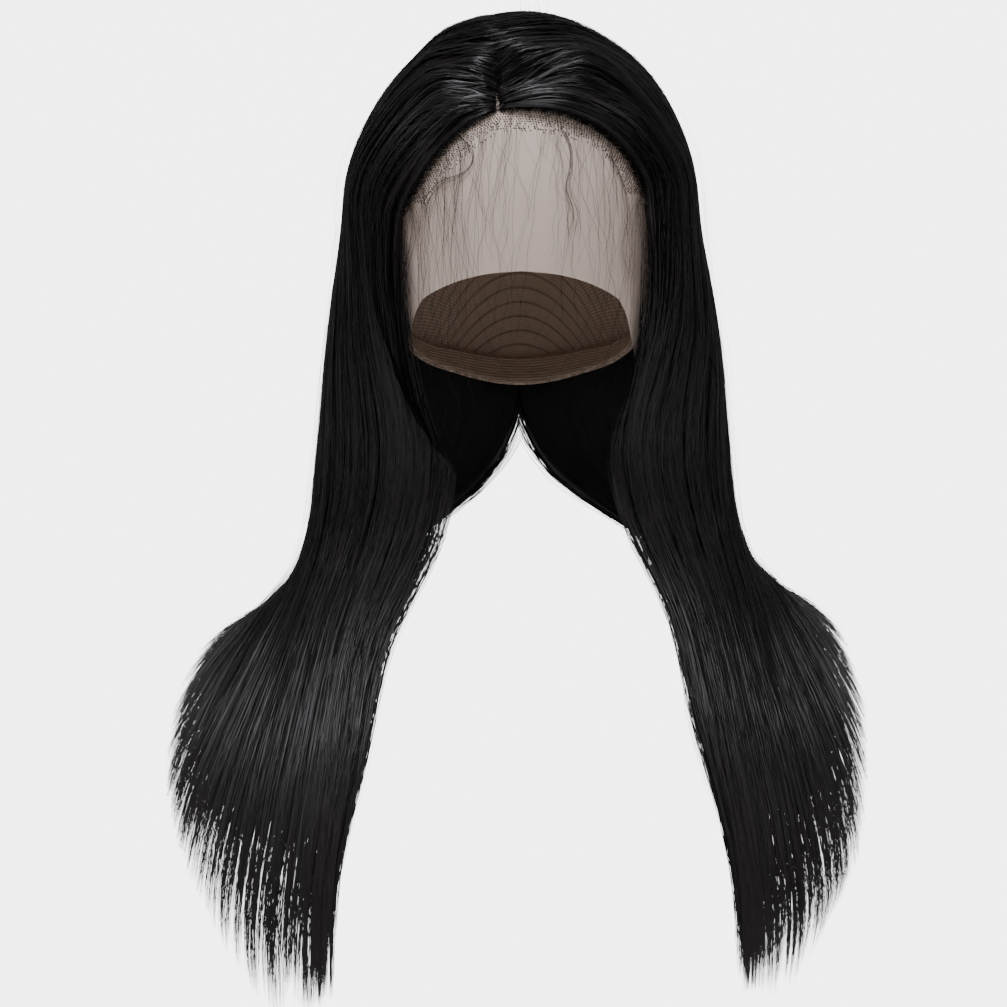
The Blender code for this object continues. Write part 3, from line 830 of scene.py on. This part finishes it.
def swell(across, along, side):
    """How much fuller or flatter the hair lies beside the parting: a hollow behind the hairline and
    a roll of hair above it, both fading down the side of the head."""
    near_top = smooth_step(along / 0.25) * (1.0 - smooth_step((along - 0.5) / 1.4))
    hollow = np.exp(-((across - 0.075) / 0.028) ** 2)
    roll = np.exp(-((across - 0.155) / 0.045) ** 2)
    at_sides = smooth_step((along - 0.5) / 0.8) * (1.0 - smooth_step((along - 3.2) / 1.2))
    flatter = (0.17 - 0.03 * side) * at_sides * smooth_step((across - 0.18) / 0.25)
    on_top = (1.0 - smooth_step((along - 0.7) / 1.0)) * smooth_step((across - 0.20) / 0.15)
    flatter = flatter + (0.09 + 0.09 * side) * on_top
    return 1.0 + near_top * ((0.32 + 0.08 * side) * roll - (0.46 + 0.10 * side) * hollow) - flatter


def shell_cover(name, across, along):
    """How closely the shell covers each place: wholly on the head and in the middle of the falls,
    less towards the outer edge below the shoulder, and not at all at the tips and the parting."""
    edge = outer_edge(name, along)
    outer = 1.0 - 0.90 * smooth_step((across - edge + 0.38) / 0.32) * smooth_step((along - 6.9) / 1.6)
    inner = 1.0 - 0.30 * (1.0 - smooth_step(across / 0.04)) * smooth_step((along - 4.0) / 2.0)
    inner = inner * smooth_step((across - front_slant(name, along) + 0.10) / 0.11)
    ends = 1.0 - smooth_step((along - 8.9) / 1.2)
    at_parting = (1.0 - smooth_step((across - 0.05) / 0.06)) * (1.0 - smooth_step(along / 0.05))
    return outer * inner * ends * (1.0 - at_parting)


def make_shell(label, start, end, name, side):
    """One bundle as a closed shell. Its height is the hair's thickness times a lock profile."""
    share = np.linspace(0.0, 1.0, SHELL_COLUMNS + 1)[None, :]
    in_lock = share * SHELL_LOCKS % 1.0
    along = np.linspace(0.0, 1.0, SHELL_ROWS + 1)[:, None] ** 1.15 * SHELL_END
    across = start + (end - start) * (share * 0.998 + 0.001)
    across = np.broadcast_to(across, along.shape[:1] + share.shape[1:])
    along = np.broadcast_to(along, across.shape)
    points, outward, thickness, _ = read_map(HAIR_MAPS[name], across, along)
    groove = 1.0 - 0.08 * (2.0 * np.abs(in_lock - 0.5)) ** 4 * smooth_step((along - 3.5) / 3.0)
    full = thickness * SHELL_FILL * groove * swell(across, along, side)
    parted = open_parting(across) * (1.0 - smooth_step(along / 0.45))
    height = full * (0.72 + 0.28 * smooth_step(along / 0.35))
    height = height + (LACE_LEVEL + LEAST_WALL - height) * parted
    base = np.minimum(0.0, height - LEAST_WALL)
    height = np.maximum(height, base + LEAST_WALL)
    inner = (points + outward * base[..., None]) * (side, 1.0, 1.0)
    outer = (points + outward * height[..., None]) * (side, 1.0, 1.0)
    pattern = np.stack([before_fan(name, across, along) * PATTERN_ACROSS, along * PATTERN_ALONG], axis=-1)
    faces = shell_faces(SHELL_ROWS, SHELL_COLUMNS, side < 0)
    shell = new_piece(label + "_shell_" + name, np.stack([inner, outer]), faces,
                      np.stack([pattern] * 2), hair_mass)
    hold_at_points(shell, "cover", np.stack([shell_cover(name, across, along)] * 2))
    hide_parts(label + "_" + name)


for label, start, end in BUNDLES:
    for name, side in SIDES:
        make_shell(label, start, end, name, side)
print("six shells of", SHELL_ROWS * SHELL_COLUMNS * 4, "triangles or so")

# %% [markdown]
# ## Strands
# A strand is a narrow ribbon that tapers to its tip. It follows a line of places in the hair map, at a
# height above the shell, and its ribbon is turned by a chance angle so that the light breaks up as on
# round hairs. Strands are gathered into clumps. Each clump wanders slowly, and draws together towards
# the tips, as long hair does.

# %% Ribbon helper
RIBBON_TURN = 0.55
WAVE_TURNS = (1.3, 2.6, 4.9)


def lay_ribbons(name, points, outward, width, tone, material, chance):
    """Ribbons along lines of points (n, k, 3). Each edge is half a width from the line, along the
    cross product of its direction and the outward direction, turned by a chance angle."""
    count, steps = points.shape[:2]
    forward = unit(np.gradient(points, axis=1))
    flat = unit(np.cross(forward, outward))
    raised = np.cross(flat, forward)
    turn = chance.uniform(-RIBBON_TURN, RIBBON_TURN, (count, 1, 1))
    spread = flat * np.cos(turn) + raised * np.sin(turn)
    share = np.linspace(0.0, 1.0, steps)
    taper = (0.55 + 0.45 * smooth_step(share / 0.1)) * (1.0 - 0.80 * smooth_step((share - 0.90) / 0.10))
    half = (width[:, None] * taper)[..., None] / 2
    edges = np.stack([points - spread * half, points + spread * half], axis=2)
    place = np.empty((count, steps, 2, 2))
    place[..., 0] = tone[:, None, None]
    place[..., 1] = share[None, :, None]
    cells = grid_corners(steps - 1, 1).reshape(-1, 4)
    faces = (np.arange(count)[:, None, None] * steps * 2 + cells).reshape(-1, 4)
    return new_piece(name, edges, faces, place, material)


def slow_wave(phase, along):
    """The sum of three sines of along, each with its own phase and a height of 1 over its turns."""
    around = along * 2 * np.pi / LAST
    return sum(np.sin(around * turn + phase[:, k:k + 1]) / turn for k, turn in enumerate(WAVE_TURNS))

# %% [markdown]
# ## Clumps
# One table for each half holds the clumps: where they lie across the hair, how far they reach, how they
# wander and how strongly they pull their strands together.

# %% Clumps
CLUMPS = 150


def make_clumps(seed):
    """Chance values for every clump of one half."""
    chance = np.random.default_rng(seed)
    return {
        "centre": (np.arange(CLUMPS) + chance.uniform(0.1, 0.9, CLUMPS)) / CLUMPS,
        "tip": LAST - 0.05 - np.abs(chance.normal(0.0, 0.32, CLUMPS)),
        "sweep": chance.uniform(0.5, 1.4, CLUMPS),
        "pull": chance.uniform(0.05, 0.66, CLUMPS),
        "drift": chance.uniform(0.0, 2 * np.pi, (CLUMPS, 3)),
        "lift": chance.uniform(0.0, 2 * np.pi, (CLUMPS, 3)),
    }


CLUMP_TABLES = {"left": make_clumps(21), "right": make_clumps(22)}


def nearest_clump(name, across):
    """The number of the clump whose middle is nearest to each place across."""
    return np.abs(across[:, None] - CLUMP_TABLES[name]["centre"]).argmin(axis=1)


def comb(name, across, along, chance, stray):
    """Lines of places after combing: strands drift with their clump, wander a little of their own,
    and close up on the clump's middle below the shoulders. Returns across, and the clump's lift."""
    clumps = CLUMP_TABLES[name]
    owner = nearest_clump(name, across[:, -1])
    centre = clumps["centre"][owner][:, None]
    pull = clumps["pull"][owner][:, None] * smooth_step((along - 6.5) / 4.5) ** 1.1
    drift = slow_wave(clumps["drift"][owner], along) * 0.0013
    own = slow_wave(chance.uniform(0.0, 2 * np.pi, (len(across), 3)), along) * stray
    width = read_map(HAIR_MAPS[name], across, along)[3]
    free = smooth_step(along / 0.8)
    slant = fanned(name, across[:, -1:], along)
    across = centre + (across - centre) * (1.0 - pull) + (drift + own) * free / width + slant
    fuller = 0.0002 + 0.0009 * (1.0 - smooth_step((along - 0.5) / 3.5))
    lift = slow_wave(clumps["lift"][owner], along) * fuller * free
    return across, lift


def place_strands(name, side, across, along, height):
    """World points of strands at heights above the hair's inner surface, and outward directions."""
    points, outward, _, _ = read_map(HAIR_MAPS[name], across, along)
    mirror = np.array([side, 1.0, 1.0])
    return (points + outward * height[..., None]) * mirror, outward * mirror


# %% [markdown]
# ## The long hair
# The long strands start at the parting. In front they rise from the lace in an arc and sweep back
# before they fall, and behind the crown they rise from within the hair.

# %% Long strands
LONG_COUNT = 3100
LONG_STEPS = 31
for name, side in SIDES:
    chance = np.random.default_rng(31 if side > 0 else 32)
    clumps = CLUMP_TABLES[name]
    start = (np.arange(LONG_COUNT) + chance.random(LONG_COUNT)) / LONG_COUNT
    start = start * 1.015 - 0.008
    owner = nearest_clump(name, start)
    tip = np.clip(clumps["tip"][owner] - chance.exponential(0.42, LONG_COUNT), 8.4, LAST)
    tip = fanned_tip(name, start, tip, chance)
    share = np.linspace(0.0, 1.0, LONG_STEPS)
    along = (0.25 * share + 0.75 * share**2) * tip[:, None]
    swept = (clumps["sweep"][owner] * np.clip(start / 0.16, 0.0, 1.0))[:, None]
    sweep = 0.085 * swept * (1.0 - smooth_step(along / 1.0)) - 0.020 * swept * smooth_step(along / 1.0) \
        * (1.0 - smooth_step((along - 1.0) / 1.6))
    across, lift = comb(name, np.broadcast_to(start[:, None], along.shape).copy(), along, chance, 0.0006)
    across = across - sweep
    raised = np.maximum(along, 0.55 * smooth_step(across / 0.16))
    thickness = read_map(HAIR_MAPS[name], across, raised)[2] * swell(across, along, side)
    depth = chance.uniform(0.0, 1.0, (LONG_COUNT, 1)) ** 0.7
    settled = thickness * (0.88 + 0.10 * depth) + 0.0003 + 0.0006 * depth + lift
    opened = open_parting(start)[:, None]
    root_level = LACE_LEVEL * opened + 0.92 * settled[:, :1] * (1.0 - opened)
    height = root_level + (settled - root_level) * (1.0 - np.exp(-along / 0.085))
    points, outward = place_strands(name, side, across, along, height)
    line_width = 0.0011 * side * (1.0 - smooth_step((start[:, None] - 0.05) / 0.10))
    crossing = chance.normal(0.0, 1.0, (LONG_COUNT, 1)) * (0.0003 + 0.0022 * (1.0 - opened))
    points[..., 0] += (crossing + line_width) * np.exp(-along / 0.14)
    width = chance.uniform(0.00016, 0.00028, LONG_COUNT)
    tone = chance.random(LONG_COUNT) ** 1.5
    for k, (label, first, last) in enumerate(BUNDLES):
        mine = (start >= first - (k == 0)) & (start < last + (k == 2))
        piece = lay_ribbons("long_" + label + "_" + name, points[mine], outward[mine], width[mine],
                            tone[mine], hair_strand, chance)
print("long strands", 2 * LONG_COUNT)

# %% [markdown]
# ## The hairline
# Along the hairline the strands rise from the lace one by one. Each leaves it nearly square, sweeps up
# and back, and then turns down to join the fall. These make the arcs at both sides of the parting.

# %% Hairline strands
EDGE_COUNT = 1250
EDGE_STEPS = 27
for name, side in SIDES:
    chance = np.random.default_rng(41 if side > 0 else 42)
    root = 3.3 * chance.random(EDGE_COUNT) ** 1.2 * chance.uniform(0.85, 1.1, EDGE_COUNT)
    climb = chance.uniform(0.015, 0.11, EDGE_COUNT) * (1.0 - 0.2 * root)
    tip = np.clip(10.95 - chance.exponential(0.55, EDGE_COUNT), 8.5, LAST)
    share = np.linspace(0.0, 1.0, EDGE_STEPS)
    along = root[:, None] + share**1.5 * (tip - root)[:, None]
    since = along - root[:, None]
    start = -0.001 + chance.normal(0.0, 0.005, EDGE_COUNT)
    rise = 1.0 - (1.0 - np.clip(since / 0.8, 0.0, 1.0)) ** 2.2
    line = start[:, None] + (climb - start)[:, None] * rise
    combed, lift = comb(name, line, along, chance, 0.0006)
    across = line + (combed - line) * smooth_step(since / 1.2)
    thickness = read_map(HAIR_MAPS[name], across, along)[2] * swell(across, along, side)
    depth = chance.random((EDGE_COUNT, 1))
    settled = thickness * (0.90 + 0.14 * depth) + 0.0004 + 0.0010 * depth + lift
    height = LACE_LEVEL + (settled - LACE_LEVEL) * (1.0 - np.exp(-since / 0.16))
    points, outward = place_strands(name, side, across, along, height)
    piece = lay_ribbons("hairline_strands_" + name, points, outward,
                        chance.uniform(0.00015, 0.00026, EDGE_COUNT), chance.random(EDGE_COUNT) ** 1.2,
                        hair_strand, chance)
print("hairline strands", 2 * EDGE_COUNT)

# %% [markdown]
# ## A tuft
# Short hairs that stand up where the parting ends on top break the smooth outline.

# %% Tuft
TUFT_COUNT = 70
TUFT_STEPS = 7
chance = np.random.default_rng(45)
base = np.stack([chance.normal(0.006, 0.007, TUFT_COUNT), chance.normal(-0.008, 0.010, TUFT_COUNT),
                 np.zeros(TUFT_COUNT)], axis=-1)
base = on_head_form(base, HAIR_LIFT * 0.80)
leaning = unit(np.stack([chance.normal(-0.5, 0.8, TUFT_COUNT), chance.normal(-0.6, 0.4, TUFT_COUNT),
                         chance.uniform(0.25, 0.75, TUFT_COUNT)], axis=-1))
reach = np.linspace(0.0, 1.0, TUFT_STEPS) * chance.uniform(0.009, 0.019, (TUFT_COUNT, 1))
tuft_lines = base[:, None] + leaning[:, None] * reach[..., None]
tuft_lines[..., 2] -= reach**2 * chance.uniform(5.0, 30.0, (TUFT_COUNT, 1))
tuft = lay_ribbons("crown_tuft", tuft_lines, unit(tuft_lines + CENTRE_TO_CROWN),
                   chance.uniform(0.00014, 0.00024, TUFT_COUNT), chance.random(TUFT_COUNT),
                   hair_strand, chance)
print(TUFT_COUNT, "hairs in the tuft")

# %% [markdown]
# ## The falls
# Below the ears more strands come up from within the hair, lie on the inner side, and run loose past
# both edges. They make the falls look deep, close the view from behind, and give the ends their wispy,
# uneven strips.

# %% Strands of the falls
# Family, strands, steps, across, root, level, stray, extra height, width, tip spread, start power.
FALL_FAMILIES = (
    ("fall_strands", 3500, 15, (-0.005, 1.0), (3.6, 8.6), (0.86, 1.06),
     0.0008, 0.0009, (0.00014, 0.00024), 0.42, 1.35),
    ("inner_strands", 900, 13, (0.0, 1.0), (4.3, 8.0), (-0.12, 0.02),
     0.0010, 0.0, (0.00018, 0.00028), 0.45, 1.5),
    ("front_edge_strands", 280, 16, (-0.055, 0.02), (3.5, 8.2), (0.1, 0.9),
     0.0022, 0.0006, (0.00016, 0.00026), 0.5, 1.0),
    ("outer_edge_strands", 200, 16, (0.90, 1.02), (5.2, 8.2), (0.1, 0.9),
     0.0022, 0.0006, (0.00016, 0.00026), 0.5, 1.0),
    ("loose_strands", 130, 24, (0.0, 1.0), (1.0, 6.0), (1.0, 1.15),
     0.0060, 0.0035, (0.00012, 0.00020), 0.9, 1.0),
    ("tip_strands", 1000, 8, (0.0, 0.75), (7.8, 9.2), (0.2, 1.0),
     0.0022, 0.0006, (0.00010, 0.00016), 0.20, 1.2),
)
FALL_SEEDS = {"left": 50, "right": 60}


def lay_fall_strands(name, side, seed, family, count, steps, across_range, root_range, level_range,
                     stray, extra, width_range, tip_spread, start_power):
    """Strands that start below the parting. level is a share of the hair's thickness."""
    chance = np.random.default_rng(seed)
    clumps = CLUMP_TABLES[name]
    start = across_range[0] + (across_range[1] - across_range[0]) * chance.random(count) ** start_power
    owner = nearest_clump(name, start)
    root = chance.uniform(*root_range, count)
    tip = np.clip(clumps["tip"][owner] + 0.1 - chance.exponential(tip_spread, count), root + 1.5, LAST)
    tip = fanned_tip(name, start, tip, chance)
    root = np.minimum(root, tip - 1.0)
    along = root[:, None] + np.linspace(0.0, 1.0, steps) * (tip - root)[:, None]
    across, lift = comb(name, np.broadcast_to(start[:, None], along.shape).copy(), along, chance, stray)
    thickness = read_map(HAIR_MAPS[name], across, along)[2]
    level = chance.uniform(*level_range, (count, 1))
    emerge = smooth_step((along - root[:, None]) / 0.8)
    settled = thickness * level + lift + extra * chance.random((count, 1))
    height = 0.4 * thickness + (settled - 0.4 * thickness) * emerge
    points, outward = place_strands(name, side, across, along, height)
    piece = lay_ribbons(family + "_" + name, points, outward, chance.uniform(*width_range, count),
                        chance.random(count) ** 1.3, hair_strand, chance)


for name, side in SIDES:
    for order, values in enumerate(FALL_FAMILIES):
        lay_fall_strands(name, side, FALL_SEEDS[name] + order, *values)
print("strands of the falls", 2 * sum(values[1] for values in FALL_FAMILIES))

# %% [markdown]
# ## Fine hair over the forehead
# Very fine hairs at the hairline are left loose. Each leaves the hairline forwards and then hangs over
# the lace in a slow sideways wave. Four bolder curls are drawn through points seen from the front. All
# are set on the head's form, so that they always lie just above the lace.

# %% Baby hairs
BABY_COUNT = 260
BABY_STEPS = 30
CURL_HAIRS = 10
# Each curl's points, across and up, in millimetres.
CURLS = (
    ((-32.7, -54.5), (-23.2, -66.0), (-26.5, -75.4), (-38.0, -80.3), (-44.6, -88.0), (-45.1, -97.0)),
    ((19.5, -53.5), (24.0, -62.5), (24.4, -74.0), (22.4, -84.0), (26.4, -96.0), (24.4, -108.0)),
    ((44.0, -66.0), (50.0, -80.0), (52.5, -96.0), (50.0, -112.0), (54.0, -128.0)),
    ((-50.0, -72.0), (-55.0, -86.0), (-52.0, -104.0), (-56.0, -122.0), (-53.0, -138.0)),
)


def face_points(x, z, offset):
    """Points of the head's form at places seen from the front: y from the ellipsoid's equation."""
    centred = np.stack([x, np.zeros_like(x), z], axis=-1) + CENTRE_TO_CROWN
    width, length, height = np.moveaxis(half_axes(centred, offset), -1, 0)
    inside = 1.0 - (centred[..., 0] / width) ** 2 - (centred[..., 2] / height) ** 2
    centred[..., 1] = -length * np.sqrt(np.maximum(inside, 0.0))
    return centred - CENTRE_TO_CROWN


chance = np.random.default_rng(71)
share = np.linspace(0.0, 1.0, BABY_STEPS)
lines = []
for name, side in SIDES:
    count = BABY_COUNT // 2
    root = 3.4 * chance.random(count) ** 0.85
    base = hairline_points(name, side, root)
    behind = read_map(HAIR_MAPS[name], np.full_like(root, 0.03), root)[0] * (side, 1.0, 1.0)
    ahead = unit(base - behind)[:, None]
    length = 0.016 + 0.130 * chance.random((count, 1)) ** 1.7
    reach = length * share
    first = chance.uniform(0.003, 0.013, (count, 1))
    forward = first * (1.0 - np.exp(-reach / first))
    fall = reach - forward
    phase = chance.uniform(0.0, 2 * np.pi, (count, 1))
    wave = 2 * np.pi * reach / chance.uniform(0.018, 0.070, (count, 1)) + phase
    swing = chance.uniform(0.0003, 0.0013, (count, 1)) * (np.sin(wave) - np.sin(phase))
    lean = chance.normal(0.05 * side, 0.20, (count, 1)) * fall
    path = base[:, None] + ahead * forward[..., None]
    path = path + np.stack([swing + lean, np.zeros_like(fall), -fall], axis=-1)
    lines.append(on_head_form(path, 0.0))
for curl in CURLS:
    marks = np.array(curl) * 0.001
    place = np.broadcast_to(share * (len(marks) - 1), (CURL_HAIRS, BABY_STEPS))
    drawn = spline(marks[:, None, None], place) + chance.normal(0.0, 0.0005, (CURL_HAIRS, 1, 2))
    drawn = drawn + chance.normal(0.0, 0.0018, (CURL_HAIRS, 1, 2)) * share[:, None] ** 2
    lines.append(face_points(drawn[..., 0], drawn[..., 1], 0.0))
lines = np.concatenate(lines)
lift = LACE_WALL + 0.0005 + chance.uniform(0.0, 0.0022, (len(lines), 1)) * np.sin(np.pi * share * 0.8)
lines = lines + unit(lines + CENTRE_TO_CROWN) * lift[..., None]
baby_hairs = lay_ribbons("baby_hairs", lines, unit(lines + CENTRE_TO_CROWN),
                         chance.uniform(0.00007, 0.00015, len(lines)), chance.random(len(lines)),
                         baby_hair_finish, chance)
print(len(lines), "baby hairs")

# %% [markdown]
# ## Stage and light
# The wig is shown on its own before a white backdrop that curves up from the floor. Two large soft
# lights stand in front and to the sides, and one above, so that the black hair takes broad, soft gloss
# and the white ground stays even.

# %% Stage
FLOOR_LEVEL = -0.66
SWEEP = 1.0
SWEEP_START = 1.4
BACKDROP_HALF_WIDTH = 5.0
BACKDROP_FRONT = -4.0
BACKDROP_TOP = 4.0
BACKDROP_GLOW = 4.5
ROOM_SEEN = 4.6
ROOM_LIGHT = 0.17
COOL = (0.93, 0.95, 1.0)
WARM = (1.0, 0.97, 0.95)

turns = np.linspace(0.0, math.pi / 2, 25)
sweep_y = SWEEP_START + SWEEP * np.sin(turns)
sweep_z = FLOOR_LEVEL + SWEEP * (1.0 - np.cos(turns))
profile_y = np.concatenate([[BACKDROP_FRONT], sweep_y, [SWEEP_START + SWEEP]])
profile_z = np.concatenate([[FLOOR_LEVEL], sweep_z, [BACKDROP_TOP]])
backdrop_points = np.stack([
    np.broadcast_to(np.array([BACKDROP_HALF_WIDTH, -BACKDROP_HALF_WIDTH]), (len(profile_y), 2)),
    np.broadcast_to(profile_y[:, None], (len(profile_y), 2)),
    np.broadcast_to(profile_z[:, None], (len(profile_y), 2)),
], axis=-1)
backdrop_faces = grid_corners(len(profile_y) - 1, 1).reshape(-1, 4)
backdrop_finish, tree, shader = new_material("backdrop_finish", (0.93, 0.93, 0.93), 0.9, 0.1)
seen = tree.nodes.new("ShaderNodeLightPath").outputs["Is Camera Ray"]
glow = mixed_colour(tree, seen, (0.0, 0.0, 0.0, 1.0), (1.0, 1.0, 1.0, 1.0))
tree.links.new(glow, shader["Emission Color"])
shader["Emission Strength"].default_value = BACKDROP_GLOW
backdrop_mesh = bpy.data.meshes.new("backdrop")
backdrop_mesh.from_pydata(backdrop_points.reshape(-1, 3), [], backdrop_faces)
backdrop_mesh.materials.append(backdrop_finish)
backdrop_mesh.shade_smooth()
backdrop = bpy.data.objects.new("backdrop", backdrop_mesh)
bpy.context.scene.collection.objects.link(backdrop)


def soft_light(name, place, target, size, power, colour):
    """A square area light at place that faces target."""
    data = bpy.data.lights.new(name, "AREA")
    data.size = size
    data.energy = power
    data.color = colour
    light = bpy.data.objects.new(name, data)
    light.location = place
    aim = mathutils.Vector(target) - mathutils.Vector(place)
    light.rotation_euler = aim.to_track_quat("-Z", "Y").to_euler()
    bpy.context.scene.collection.objects.link(light)


soft_light("overhead_front", (-0.1, -1.0, 1.55), (0.0, -0.02, 0.0), 1.0, 32.0, COOL)
soft_light("left_window", (-1.9, -1.5, 0.8), (0.0, 0.0, -0.25), 1.0, 9.0, WARM)
soft_light("right_window", (1.9, -1.5, 0.6), (0.0, 0.0, -0.25), 1.0, 7.0, WARM)

world = bpy.data.worlds.new("white_room")
world.use_nodes = True
room = world.node_tree
seen = room.nodes.new("ShaderNodeLightPath").outputs["Is Camera Ray"]
brightness = maths(room, "ADD", maths(room, "MULTIPLY", seen, ROOM_SEEN), ROOM_LIGHT)
room.nodes["Background"].inputs["Color"].default_value = (1.0, 1.0, 1.0, 1.0)
room.links.new(brightness, room.nodes["Background"].inputs["Strength"])
bpy.context.scene.world = world
print("lights ready")
